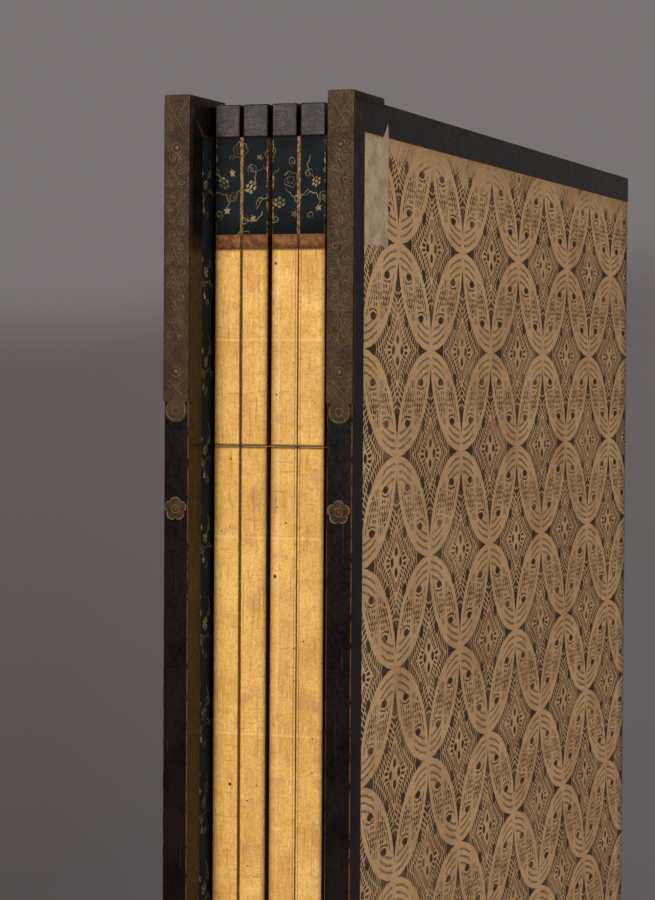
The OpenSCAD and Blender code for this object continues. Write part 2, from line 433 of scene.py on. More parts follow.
def lacquer():
    """Brown-black lacquer, rubbed red-brown on its edges."""
    paint = Paint("lacquer", Specular_IOR_Level=0.1)
    here = paint.in_space()
    cloud = paint.noise(here, 30, 3.0)
    fine = paint.noise(here, 2.2, 3.0, 0.6)
    body = paint.ground(cloud, (9, 6, 5), (22, 15, 12), 0.35)
    rubbed = paint.attribute("wear_and_shade") & paint.noise(here, 9, 4.0, 0.65).above(0.44, 0.1)
    scratch = paint.noise(here, 1.1, 2.0, by=(1, 1, 0.03)).above(0.7, 0.03)
    colour = paint.over(body, (rubbed * 0.65, (118, 72, 44)), (scratch * 0.3, (92, 72, 60)))
    rough = fine.scaled(0.3, 0.7, 0.22, 0.36) + rubbed * 0.3
    return paint.done(colour, rough, fine + cloud * 2.0, 0.05)


def rail_end():
    """End of a rail where hands have rubbed the lacquer grey, with patches of bare wood."""
    paint = Paint("rail_end", Specular_IOR_Level=0.3)
    here = paint.in_space()
    cloud = paint.noise(here, 7, 4.0, 0.6)
    fine = paint.noise(here, 0.9, 3.0, 0.6)
    scratch = paint.noise(here, 0.5, 2.0, by=(1, 0.12, 1)).above(0.6, 0.05)
    bare = paint.noise(here, 5.2, 3.0, 0.6).above(0.62, 0.05)
    dirt = paint.noise(here, 1.4, 2.0).above(0.6, 0.05)
    body = paint.ground(cloud, (33, 29, 28), (76, 71, 71), 0.35)
    colour = paint.over(
        body, (scratch * 0.22, (124, 118, 117)), (bare * 0.45, (96, 60, 42)), (dirt * 0.6, (24, 20, 19)),
    )
    return paint.done(colour, cloud.scaled(0.3, 0.7, 0.5, 0.75), fine, 0.12)


def cedar():
    """Planed cedar with its grain along the strips."""
    paint = Paint("cedar", Specular_IOR_Level=0.3)
    here = paint.in_space()
    grain = paint.noise(here, 2.4, 4.0, 0.6, by=(1, 1, 0.05))
    rings = (paint.noise(here, 14, 2.0, by=(1, 1, 0.02)) * 9.0).fract()
    body = paint.ground(grain, (168, 126, 84), (206, 168, 122))
    colour = paint.over(body, (rings.above(0.8, 0.15) * 0.4, (140, 94, 58)))
    return paint.done(colour, 0.7, grain, 0.1)


# Half-periods of the interlocking rounds, and a point where four of them touch
PRINT_HALF_W = 61.28
PRINT_HALF_H = 57.25
PRINT_X = STILE_X + 76.44
PRINT_Z = PANEL_H - 186.86


def block_print(paint, x, z):
    """Ink of the printed paper: rounds that interlock into pointed ovals, with a star of dashes
    between every four. In each cell p and q run from 0 to 1, four ovals touch at (0, 0) and at
    (1, 1), and stars stand at (1, 0) and (0, 1)."""
    u = (x - PRINT_X) / PRINT_HALF_W
    v = (z - PRINT_Z) / PRINT_HALF_H
    odd = (u.floor() + v.floor()).wrapped(2.0)
    p = flipped(u.fract(), odd)
    q = v.fract()
    from_right = paint.length(p - 1.0, q)
    from_top = paint.length(p, q - 1.0)
    edge = (from_right | from_top) - 1.0

    # The oval repeats itself upside down about its middle
    far_half = (p + q).above(1.0, 0.001)
    a = flipped(p, far_half)
    b = flipped(q, far_half)
    in_oval = paint.spot(a, b)
    low_arc = paint.distance(in_oval, 0, 1)
    rows = (low_arc - 0.755).stripes(0.07, 0.36) & low_arc.between(0.76, 0.962, 0.004)
    dashes = a.angle_to(b * -1.0 + 1.0).stripes(0.046, 0.64, 0.12)
    ink = rows & dashes & a.between(0.05, 0.42, 0.01)
    high_arc = paint.distance(in_oval, 1, 0)
    lines = (high_arc - 0.737).stripes(0.052, 0.42) & high_arc.between(0.74, 0.95, 0.004)
    row = ((high_arc - 0.737) / 0.052).floor()
    broken = (b.angle_to(a * -1.0 + 1.0) + row * 0.061).stripes(0.15, 0.84, 0.04)
    ink = ink | (lines & broken & b.between(0.3, 0.86, 0.02) & (b - a).above(0.14, 0.02))
    eye = paint.length((a - 0.31) / 0.08, (b - 0.305) / 0.037)
    ink = ink | eye.below(1.0, 0.12)
    lids = eye.between(1.55, 1.95, 0.08) & (b - 0.305).above(0.0, 0.01)
    ink = ink | (lids & abs(a - 0.31).below(0.1, 0.02))
    column = (a - 0.25).stripes(0.06, 0.55, 0.1) & (b - 0.385).stripes(0.055, 0.55, 0.1)
    ink = ink | (column & paint.length((a - 0.37) / 0.09, (b - 0.5) / 0.14).below(1.0, 0.05))
    sway = p - 0.5 + ((q - 0.5) * 11.0).sine() * 0.06
    lines = (sway + 0.0275).stripes(0.055, 0.42, 0.1) & abs(sway).below(0.055, 0.006)
    ink = ink | (lines & abs(q - 0.5).below(0.22, 0.02) & q.stripes(0.09, 0.8, 0.05))
    ink = ink & edge.below(-0.05, 0.008)

    # The star, folded into one quarter
    right_star = (from_top - from_right).above(0.0, 0.0005)
    sx = flipped(p, right_star)
    sy = flipped(q * -1.0 + 1.0, right_star)
    in_star = paint.spot(sx, sy)
    along = (sx * -1.0 + 1.0).angle_to(sy * -1.0 + 1.0)
    hatch = along.stripes(0.056, 0.68, 0.12) & edge.between(0.01, 0.09, 0.006)
    thin = along.stripes(0.046, 0.62, 0.12) & edge.between(0.108, 0.176, 0.006)
    star = hatch | thin
    star = star | paint.distance(in_star, 0.235, 0.272).below(0.056, 0.01)
    diamond = sx / 0.35 + sy / 0.345
    turned = sx.angle_to(sy)
    star = star | (turned.stripes(0.224, 0.56, 0.12) & diamond.between(0.6, 0.9, 0.03))
    star = star | paint.distance(in_star, 0, 0.1).below(0.045, 0.01)
    star = star | paint.distance(in_star, 0.12, 0).below(0.045, 0.01)
    star = star | (sx.above(0.62, 0.01) & edge.above(0.003, 0.003))
    star = star | (sy.between(0.58, 0.94, 0.012) & edge.above(0.012, 0.006))
    star = star | (sy.above(0.9, 0.02) & sx.below(0.012, 0.006))
    star = star | paint.distance(in_star, 0, 0.5).below(0.034, 0.008)
    star = star & edge.above(0.003, 0.002)
    return ink | star


def printed_paper():
    """Buff paper with a dark block print, rubbed thin in patches."""
    paint = Paint("printed_paper", Specular_IOR_Level=0.22)
    x, z, here = paint.on_sheet()
    wander = paint.noise(here, 6, 2.0) - 0.5
    drift = paint.noise(here, 5, 2.0, by=(1, 1.3, 1)) - 0.5
    ink = block_print(paint, x + wander * 1.6, z + drift * 1.6)
    rubbed = paint.noise(here, 26, 4.0, 0.62)
    grains = paint.noise(here, 0.9, 3.0, 0.7)
    strength = rubbed.scaled(0.28, 0.55, 0.62, 1.0) * grains.scaled(0.3, 0.44, 0.6, 1.0)
    at_top = (z - PAPER_TOP + 24.0) / 30.0 + (rubbed - 0.5) * 3.0
    strength = strength * at_top.scaled(0.3, 0.8, 1.0, 0.12)
    cloud = paint.noise(here, 60, 4.0, 0.6)
    fibre = paint.noise(here, 0.7, 3.0, 0.6, by=(0.12, 1, 1))
    stains = paint.noise(here, 38, 5.0, 0.7).above(0.6, 0.08)
    body = paint.ground(cloud, (184, 146, 104), (204, 168, 122))
    colour = paint.over(
        body,
        (fibre.scaled(0.35, 0.75) * 0.5, (164, 124, 86)),
        (stains * 0.35, (140, 102, 66)),
        (paint.specks(here, 16, 0.7, 0.25) * 0.6, (96, 66, 42)),
        (ink * strength, (46, 39, 34)),
    )
    return paint.done(colour, 0.86, fibre + grains * 0.5, 0.06)


GOLD_SQUARE = 105.0


def gold_leaf():
    """Gold leaf on paper: squares with faint overlaps, creases, stains and worm holes."""
    paint = Paint("gold_leaf", Metallic=0.08, Specular_IOR_Level=0.3)
    x, z, here = paint.on_sheet()
    cloud = paint.noise(here, 26, 4.0, 0.6)
    patches = paint.noise(here, 6.5, 5.0, 0.65)
    flecks = paint.noise(here, 1.3, 4.0, 0.75)
    creases = paint.noise(here, 1.7, 3.0, 0.6, by=(1, 0.06, 1))
    cracks = paint.noise(here, 2.1, 3.0, 0.6, by=(0.1, 1, 1))
    weave = paint.noise(here, 0.8, 2.0, 0.6, by=(0.2, 1, 1))
    streaks = paint.noise(here, 1.2, 3.0, 0.6, by=(1, 0.16, 1))
    across, up = x / GOLD_SQUARE, z / GOLD_SQUARE
    leaf = (across.floor() * 7.3 + up.floor() * 3.7).sine()
    lap = abs(across.fract() - 0.5).above(0.494, 0.002) | abs(up.fract() - 0.5).above(0.494, 0.002)
    blush = paint.noise(here, 17, 4.0, 0.6).above(0.6, 0.025)
    marks = creases.above(0.62, 0.04) | cracks.above(0.66, 0.03)
    # Darkened where the mesh is marked: wear on rubbed corners and seam ends, and painted shade in the gaps
    # between the folded panels along the hinge lines.
    worn_and_shaded = paint.attribute("wear_and_shade") * flecks.scaled(0.25, 0.5, 0.7, 1.0)
    holes = paint.specks(here, 13, 0.85, 0.35) | paint.specks(here, 5.3, 0.4, 0.25)
    body = paint.ground(cloud, (220, 166, 78), (248, 200, 110))
    colour = paint.over(
        body,
        (streaks.scaled(0.5, 0.7) * 0.5, (255, 222, 146)),
        (patches.scaled(0.42, 0.7) * 0.55, (206, 146, 66)),
        (flecks.scaled(0.46, 0.66) * 0.5, (180, 122, 52)),
        (leaf.scaled(-1.0, 1.0) * 0.16, (186, 134, 68)),
        (lap * 0.25, (255, 224, 156)),
        (blush * 0.4, (196, 132, 86)),
        (marks * 0.3, (128, 82, 36)),
        # dark brown: wear, and painted shade in the gaps between the panels
        (worn_and_shaded * 0.95, (74, 40, 18)),
        (holes * 0.95, (40, 24, 12)),
    )
    rough = flecks.scaled(0.3, 0.7, 0.52, 0.7) + worn_and_shaded * 0.2
    height = cloud * 6.0 + flecks + creases * 1.5 + weave * 0.7 - holes * 3.0
    return paint.done(colour, rough, height, 0.14)


# One repeat of the brocade: (across, up, hand, start, reach) of each tendril's curl
SCROLL_W = 53.0
SCROLL_H = 47.0
COIL_PITCH = 1.75
CURLS = (
    (5.0, 5.5, 1, 0.10, 2.7), (14.0, 14.0, -1, 0.35, 2.2), (23.5, 5.0, -1, 0.60, 2.6),
    (30.5, 16.5, 1, 0.20, 2.9), (7.0, 25.5, 1, 0.55, 2.3), (18.5, 31.0, -1, 0.90, 2.8),
    (29.0, 38.5, -1, 0.40, 2.2), (38.0, 7.5, 1, 0.80, 2.3), (45.5, 17.0, -1, 0.15, 2.8),
    (40.5, 29.5, 1, 0.45, 2.6), (9.0, 40.0, 1, 0.70, 2.7), (48.5, 36.0, -1, 0.30, 2.3),
)
# (across, up, radius, start, share of a turn) of each stem
STEMS = (
    (9.0, 9.5, 6.0, 0.02, 0.34), (18.5, 11.0, 7.0, 0.55, 0.30), (24.0, 14.5, 6.5, 0.02, 0.36),
    (12.5, 24.0, 6.0, 0.10, 0.36), (23.5, 27.0, 6.2, 0.35, 0.38), (8.0, 34.0, 5.0, 0.55, 0.40),
    (34.5, 33.0, 6.6, 0.80, 0.34), (39.0, 13.0, 6.2, 0.15, 0.36), (46.0, 25.0, 7.0, 0.60, 0.34),
)
BERRIES = ((20.0, 22.0), (3.2, 15.0), (35.5, 24.0))
LEAVES = ((17.8, 5.2, 0.3), (33.2, 10.2, 1.4), (13.6, 37.4, 2.2), (48.6, 7.4, 0.9), (30.0, 30.0, 0.2))
FLOWERS = ((24.0, 42.5), (49.5, 27.5))


def brocade_gold(paint, x, z):
    """Gold thread of the brocade: curling tendrils, berries, small leaves and round blossoms."""
    a = x.wrapped(SCROLL_W)
    b = z.wrapped(SCROLL_H)
    here = paint.spot(a, b)

    def polar(across, up):
        """Distance and angle from a spot in the repeat."""
        return paint.distance(here, across, up), (b - up).angle_to(a - across)

    gold = None
    for across, up, hand, start, reach in CURLS:
        far, angle = polar(across, up)
        coil = far / COIL_PITCH - angle * (hand / TURN) + start
        line = coil.stripes(1.0, 0.27, 0.1) & far.below(reach, 0.15)
        gold = line if gold is None else gold | line
    for across, up, radius, start, share in STEMS:
        far, angle = polar(across, up)
        turned = (angle / TURN + (1 - start)).fract()
        waves = (angle * 9.0).sine() * 0.35
        gold = gold | (abs(far - radius - waves).below(0.24, 0.1) & turned.below(share, 0.02))
    for across, up in BERRIES:
        far, angle = polar(across, up)
        petal = (angle / (TURN / 6)).fract() - 0.5
        ring = paint.length(far - 2.15, petal * 2.2)
        gold = gold | ring.below(0.82, 0.12) | far.below(0.8, 0.12)
    for across, up, turn in LEAVES:
        far, angle = polar(across, up)
        lobes = ((angle + turn) * 5.0).sine() * 0.45 + 1.5
        gold = gold | (far - lobes).below(0.0, 0.15)
    for across, up in FLOWERS:
        far, angle = polar(across, up)
        lobed = far - (angle * 6.0).sine() * 0.4
        gold = gold | abs(lobed - 4.1).below(0.27, 0.1) | abs(lobed - 2.0).below(0.25, 0.1)
    return gold


def brocade():
    """Navy silk with woven gold scrolls, worn to its tan ground on the folds."""
    paint = Paint("brocade", Specular_IOR_Level=0.2)
    x, z, here = paint.on_sheet()
    sway = paint.noise(here, 26, 1.0) - 0.5
    lean = paint.noise(here, 21, 1.0, by=(1.2, 1, 1)) - 0.5
    gold = brocade_gold(paint, x + sway * 8.0 + 3.0, z + lean * 8.0 + 11.0)
    rib = z.stripes(0.42, 0.5, 0.25)
    threads = x.stripes(0.5, 0.5, 0.25) & rib
    broken = paint.noise(here, 0.8, 2.0).above(0.42, 0.12)
    cloud = paint.noise(here, 12, 4.0, 0.6)
    silk = paint.ground(cloud, (10, 16, 19), (19, 28, 32))
    silk = paint.over(silk, (threads * 0.3, (34, 42, 44)))
    thread_gold = paint.ground(cloud, (84, 72, 50), (158, 136, 90), 0.38)
    colour = paint.mix(gold * (broken * 0.7 + 0.3), silk, thread_gold)
    wear_and_shade = paint.attribute("wear_and_shade")
    frayed = (wear_and_shade * 0.8 + paint.noise(here, 5.4, 4.0, 0.75) - 0.5).above(0.52, 0.07)
    tan = paint.ground(paint.noise(here, 2.0, 3.0), (96, 66, 38), (174, 138, 90), 0.35)
    colour = paint.mix(frayed, colour, tan)
    rough = gold.scaled(0.0, 1.0, 0.82, 0.6)
    return paint.done(colour, rough, threads * 0.6 + gold - frayed * 2.0, 0.1)


def copper_brown_silk():
    """Plain copper-brown silk, mottled and faded."""
    paint = Paint("copper_brown_silk", Specular_IOR_Level=0.3)
    x, z, here = paint.on_sheet()
    cloud = paint.noise(here, 5, 4.0, 0.65)
    threads = x.stripes(0.5, 0.5, 0.25) & z.stripes(0.45, 0.5, 0.25)
    body = paint.ground(cloud, (98, 56, 26), (146, 94, 50), 0.35)
    faded = paint.noise(here, 2.2, 3.0).above(0.6, 0.06)
    # Darker where the mesh is marked: wear, and on the hinge leaves and spines painted shade in the gaps
    # between the folded panels.
    colour = paint.over(body, (faded * 0.6, (160, 114, 70)), (paint.attribute("wear_and_shade") * 0.8, (70, 40, 20)))
    return paint.done(colour, 0.75, threads + cloud, 0.1)


def old_brass():
    """Patinated brass, brighter on its raised lines."""
    paint = Paint("old_brass", Metallic=0.55, Specular_IOR_Level=0.2)
    here = paint.in_space()
    cloud = paint.noise(here, 8, 4.0, 0.6)
    fine = paint.noise(here, 0.7, 3.0, 0.65)
    bright = paint.attribute("wear_and_shade") & paint.noise(here, 3, 3.0, 0.6).scaled(0.34, 0.56, 0.35, 1.0)
    green = paint.noise(here, 5.4, 4.0, 0.7).above(0.66, 0.02)
    rust = paint.noise(here, 9.5, 3.0, 0.6).above(0.64, 0.03)
    body = paint.ground(cloud, (48, 37, 22), (70, 54, 34))
    colour = paint.over(
        body,
        (fine.above(0.54, 0.08) * 0.6, (28, 20, 12)),
        (bright, (124, 101, 66)),
        (green * 0.4, (52, 64, 50)),
        (rust * 0.4, (72, 38, 22)),
        (paint.attribute("tarnish") * 0.8, (26, 21, 17)),
    )
    rough = fine.scaled(0.3, 0.7, 0.46, 0.66) - bright * 0.1
    return paint.done(colour, rough, fine + cloud, 0.09)


def slip_paper():
    """Thin old paper, blank, with foxing and the ghost of the print under it."""
    paint = Paint("slip_paper", Specular_IOR_Level=0.2)
    x, z, here = paint.on_sheet()
    cloud = paint.noise(here, 9, 4.0, 0.6)
    fibre = paint.noise(here, 0.9, 3.0, by=(1, 0.2, 1))
    ghost = block_print(paint, x, z)
    foxing = paint.noise(here, 4.5, 4.0, 0.7).above(0.66, 0.03)
    body = paint.ground(cloud, (160, 138, 112), (194, 172, 144))
    colour = paint.over(body, (ghost * 0.1, (96, 80, 62)), (foxing * 0.5, (150, 112, 74)))
    return paint.done(colour, 0.9, fibre + cloud, 0.08)


FINISHES = {
    make.__name__: make()
    for make in (
        lacquer, rail_end, cedar, printed_paper, gold_leaf, brocade, copper_brown_silk, old_brass,
        slip_paper,
    )
}


# --- Making pieces ---


def faces_in(geometry):
    """The faces among what a bmesh operator gives back."""
    return [g for g in geometry if isinstance(g, bmesh.types.BMFace)]


def verts_in(geometry):
    """The vertices among what a bmesh operator gives back."""
    return [g for g in geometry if isinstance(g, bmesh.types.BMVert)]


def wear_and_shade_layer(bm):
    """How worn each vertex is, from 0 to 1. On the paper hinges it also holds painted shade, in the gaps
    between the folded panels.
    """
    return bm.verts.layers.float.get("wear_and_shade") or bm.verts.layers.float.new("wear_and_shade")


def sweep(bm, rings, wear_and_shade=None):
    """A closed body through rings of points, which all have as many points. The last argument gives the
    wear of each point of every ring, which on the paper hinges also stands for painted shade."""
    layer = wear_and_shade_layer(bm)
    wear_and_shade = wear_and_shade or [[0.0] * len(rings[0])] * len(rings)
    face = bm.faces.new([bm.verts.new(point) for point in rings[0]])
    for vert, amount in zip(face.verts, wear_and_shade[0]):
        vert[layer] = amount
    foot = face
    for before, ring, amounts in zip(rings, rings[1:], wear_and_shade[1:]):
        grown = faces_in(bmesh.ops.extrude_face_region(bm, geom=[face])["geom"])[0]
        if face.is_valid and face is not foot:
            bmesh.ops.delete(bm, geom=[face], context="FACES_ONLY")
        face = grown
        for vert in face.verts:
            nearest = min(range(len(ring)), key=lambda k: (vert.co - before[k]).length_squared)
            vert.co = ring[nearest]
            vert[layer] = amounts[nearest]
    return bm


def extruded(bm, outline, depth, axis):
    """Extrudes a flat outline of points by depth along a direction."""
    face = bm.faces.new([bm.verts.new(point) for point in outline])
    grown = bmesh.ops.extrude_face_region(bm, geom=[face])["geom"]
    bmesh.ops.translate(bm, verts=verts_in(grown), vec=Vector(axis) * depth)
    return bm


def cut(bm, spot, normal, merge=0.0):
    """Cuts every face along a plane through spot, and keeps both sides."""
    everything = bm.verts[:] + bm.edges[:] + bm.faces[:]
    bmesh.ops.bisect_plane(bm, geom=everything, dist=merge, plane_co=spot, plane_no=normal)


def upright_grid(bm, x0, x1, z0, z1, columns, rows):
    """A flat sheet in the plane y = 0, from (x0, z0) to (x1, z1)."""
    bmesh.ops.create_grid(
        bm, x_segments=columns, y_segments=rows, size=0.5,
        matrix=Matrix.Translation(((x0 + x1) / 2, 0, (z0 + z1) / 2))
        @ Matrix.Diagonal((x1 - x0, 1, z1 - z0, 1)) @ Matrix.Rotation(math.pi / 2, 4, "X"),
    )


def chip_mitre(bm, spot, along):
    """Wears the end of a bar at its mitre, through spot, over the last millimetre of its length."""
    layer = wear_and_shade_layer(bm)
    normal = Vector((0.7, 0, 0.72 if spot.z > PANEL_H / 2 else -0.72)).normalized()
    normal *= 1 if normal.dot(along) > 0 else -1
    for reach in (1.3, 0.5):
        cut(bm, spot + normal * reach, normal)
    for vert in bm.verts:
        reach = (vert.co - spot).dot(normal)
        if reach < 0.6:
            vert[layer] = 0.9 if reach < 0.3 else 0.6


def rounded(bm, edges, radius, segments=3):
    """Rounds edges over."""
    bmesh.ops.bevel(
        bm, geom=edges, offset=radius, offset_type="OFFSET", segments=segments, profile=0.5,
        affect="EDGES", material=-1, clamp_overlap=True,
    )
    return bm


def wear_edges(bm, amount):
    """Marks the middle of every rounded edge as worn."""
    layer = wear_and_shade_layer(bm)
    bm.normal_update()
    for vert in bm.verts:
        if all(max(abs(c) for c in face.normal) < 0.999 for face in vert.link_faces):
            vert[layer] = amount


def map_sheet(bm):
    """Gives every face the map "sheet", in millimetres: across and up, as the face lies."""
    layer = bm.loops.layers.uv.new("sheet")
    for face in bm.faces:
        sideways = abs(face.normal.x) > 0.7
        for loop in face.loops:
            spot = loop.vert.co / MM
            loop[layer].uv = (spot.y if sideways else spot.x, spot.z)


def piece(bm, name, panel, slot, replaces=(), finishes=None, smooth=True, weighted=False, rides=True):
    """Carries a shape to its panel and makes it an object there, with its finish."""
    wear_and_shade_layer(bm)
    lot = bm.verts.layers.float.new("lot")
    for vert in bm.verts:
        vert[lot] = 400.0 * panel
    bmesh.ops.transform(bm, matrix=place(panel), verts=bm.verts)
    bmesh.ops.recalc_face_normals(bm, faces=bm.faces)
    bm.normal_update()
    map_sheet(bm)
    for face in bm.faces:
        face.smooth = smooth
    mesh = bpy.data.meshes.new(name)
    bm.to_mesh(mesh)
    bm.free()
    for finish in finishes or (slot,):
        mesh.materials.append(FINISHES[finish])
    made = bpy.data.objects.new(name, mesh)
    bpy.context.scene.collection.objects.link(made)
    if weighted:
        made.modifiers.new("even shading", "WEIGHTED_NORMAL")
    if rides:
        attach(made, f"panel_{panel}")
    if replaces:
        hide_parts(*replaces)
    return made


def at(x, y, z):
    """A point."""
    return Vector((x, y, z))


# --- Rails and stiles ---


def bar(outline):
    """A rail or stile from its outline in X and Z, through the panel's thickness."""
    bm = bmesh.new()
    return extruded(bm, [at(x, -HALF_T, z) for x, z in outline], 2 * HALF_T, (0, 1, 0))


def on_mitre(edge):
    """Whether an edge lies on a slanting end."""
    return any(max(abs(c) for c in face.normal) < 0.99 for face in edge.link_faces)


def rail_shape(i, upside_down):
    """A rail, mitred to the stile on an end panel."""
    if i in END_PANELS:
        start = [(STILE_X + STILE_W + MITRE_GAP, PAPER_TOP), (STILE_X + MITRE_GAP, PANEL_H)]
    else:
        start = [(INNER_X, PAPER_TOP), (INNER_X, PANEL_H)]
    bm = bar(start + [(PLAIN_X, PANEL_H), (PLAIN_X, PAPER_TOP)])
    bm.normal_update()
    rounded(bm, [e for e in bm.edges if not on_mitre(e)], EDGE_ROUND)
    wear_edges(bm, 0.9 if i in END_PANELS else 0.35)
    if i in END_PANELS:
        chip_mitre(bm, at(STILE_X + STILE_W / 2 + MITRE_GAP, 0, PANEL_H - RAIL_H / 2), at(1, 0, 0))
    else:
        for face in bm.faces:
            face.material_index = int(abs(face.normal.x) > 0.999)
    if upside_down:
        flip = Matrix.Translation((0, 0, PANEL_H)) @ Matrix.Diagonal((1, 1, -1, 1))
        bmesh.ops.transform(bm, matrix=flip, verts=bm.verts)
    return bm


def stile_shape():
    """An end stile, mitred to both rails."""
    inner = STILE_X + STILE_W
    bm = bar([
        (STILE_X, MITRE_GAP), (STILE_X, PANEL_H - MITRE_GAP),
        (inner, PAPER_TOP - MITRE_GAP), (inner, RAIL_H + MITRE_GAP),
    ])
    bm.normal_update()
    rounded(bm, [e for e in bm.edges if not on_mitre(e)], EDGE_ROUND)
    wear_edges(bm, 1.0)
    middle = STILE_X + STILE_W / 2
    chip_mitre(bm, at(middle, 0, PANEL_H - RAIL_H / 2 - MITRE_GAP), at(0, 0, -1))
    chip_mitre(bm, at(middle, 0, RAIL_H / 2 + MITRE_GAP), at(0, 0, 1))
    return bm


for i in PANELS:
    for where in ("top", "bottom"):
        node = f"panel_{i}_{where}_rail"
        piece(
            rail_shape(i, where == "bottom"), f"{node}_lacquered", i, "lacquer", [node],
            finishes=("lacquer", "rail_end"), weighted=True,
        )
for i in END_PANELS:
    node = f"panel_{i}_end_stile"
    piece(stile_shape(), f"{node}_lacquered", i, "lacquer", [node], weighted=True)

for i in PANELS:
    lattice = frame["nodes"][f"panel_{i}_lattice"]
    lattice.data.materials.clear()
    lattice.data.materials.append(FINISHES["cedar"])


# --- Papers ---


def cell_swell(i, x, z, inset=0.0):
    """How far a sheet stands off over the cells of the lattice, from 0 at its rim."""
    x0 = edge_a(i) + (inset if i in END_PANELS else 0)
    z0, z1 = RAIL_H + inset, PAPER_TOP - inset
    cell_x = abs(math.sin(math.pi * RIB_COLUMNS * (x - x0) / (EDGE_B - x0)))
    cell_z = abs(math.sin(math.pi * RIB_ROWS * (z - z0) / (z1 - z0)))
    slack = 0.6 + noise.noise(Vector((x / 60.0, i, z / 60.0)))
    rim = min(x - x0, EDGE_B - x, z - z0, z1 - z)
    return (cell_x * cell_z) ** 0.5 * slack * min(1.0, max(0.0, rim) / 20.0)


def sheet_shape(i, inset, outside, holes=None, step=18.0, swell=0.0):
    """A sheet over a panel's face, drawn in by inset, from its outer face inwards. outside is +1
    on the front and -1 on the back. holes is the inset at which the sheet ends inwards."""
    x0 = edge_a(i) + (inset if i in END_PANELS else 0)
    x1 = EDGE_B
    z0, z1 = RAIL_H + inset, PAPER_TOP - inset
    bm = bmesh.new()
    upright_grid(bm, x0, x1, z0, z1, max(2, round((x1 - x0) / step)), max(2, round((z1 - z0) / step)))
    if holes is not None:
        cuts = [((0, 0, RAIL_H + holes), (0, 0, 1)), ((0, 0, PAPER_TOP - holes), (0, 0, 1))]
        if i in END_PANELS:
            cuts.append(((edge_a(i) + holes, 0, 0), (1, 0, 0)))
        for spot, normal in cuts:
            cut(bm, spot, normal, merge=0.01)
        inner_x = edge_a(i) + holes if i in END_PANELS else -math.inf
        gone = [
            face for face in bm.faces
            if face.calc_center_median().x > inner_x
            and RAIL_H + holes < face.calc_center_median().z < PAPER_TOP - holes
        ]
        bmesh.ops.delete(bm, geom=gone, context="FACES")
    bm.normal_update()
    if bm.faces[:][0].normal.y * outside < 0:
        bmesh.ops.reverse_faces(bm, faces=bm.faces)
    for vert in bm.verts:
        vert.co.y = outside * SHEET_Y
    bmesh.ops.solidify(bm, geom=bm.faces[:], thickness=PAPER_T)
    for vert in bm.verts:
        if vert.co.y * outside > SHEET_Y - PAPER_T / 2:
            vert.co.y += outside * (swell * cell_swell(i, vert.co.x, vert.co.z, inset) - 0.01)
    return bm


for i in PANELS:
    for sheet, last, finish, side, inset, options in (
        ("printed_back", "paper", "printed_paper", -1, 0.0, {"swell": SWELL}),
        ("gilt_front", "leaf", "gold_leaf", 1, BORDERS_W, {"swell": SWELL}),
        ("brocade_border", "silk", "brocade", 1, 0.0, {"holes": BORDER_W, "step": 12.0}),
        ("inner_border", "silk", "copper_brown_silk", 1, BORDER_W, {"holes": BORDERS_W, "step": 9.0}),
    ):
        node = f"panel_{i}_{sheet}"
        piece(sheet_shape(i, inset, side, **options), f"{node}_{last}", i, finish, [node])


# --- Paper hinges ---


def leaf_bands():
    """(finish, foot, head) of every stretch of a panel's edge, from the floor up."""
    long_h = (PAPER_TOP - RAIL_H - 2 * END_LEAF_H) / LONG_LEAVES
    ends = [RAIL_H] + [RAIL_H + END_LEAF_H + k * long_h for k in range(LONG_LEAVES + 1)] + [PAPER_TOP]
    bands = [
        ("brocade", RAIL_H, RAIL_H + BORDER_W),
        ("copper_brown_silk", RAIL_H + BORDER_W, RAIL_H + BORDERS_W),
        ("copper_brown_silk", PAPER_TOP - BORDERS_W, PAPER_TOP - BORDER_W),
        ("brocade", PAPER_TOP - BORDER_W, PAPER_TOP),
    ]
    for k, (foot, head) in enumerate(zip(ends, ends[1:])):
        foot += LEAF_SEAM / 2 if k else BORDERS_W
        head -= LEAF_SEAM / 2 if k < LONG_LEAVES + 1 else BORDERS_W
        bands.append(("gold_leaf", foot, head))
    return bands


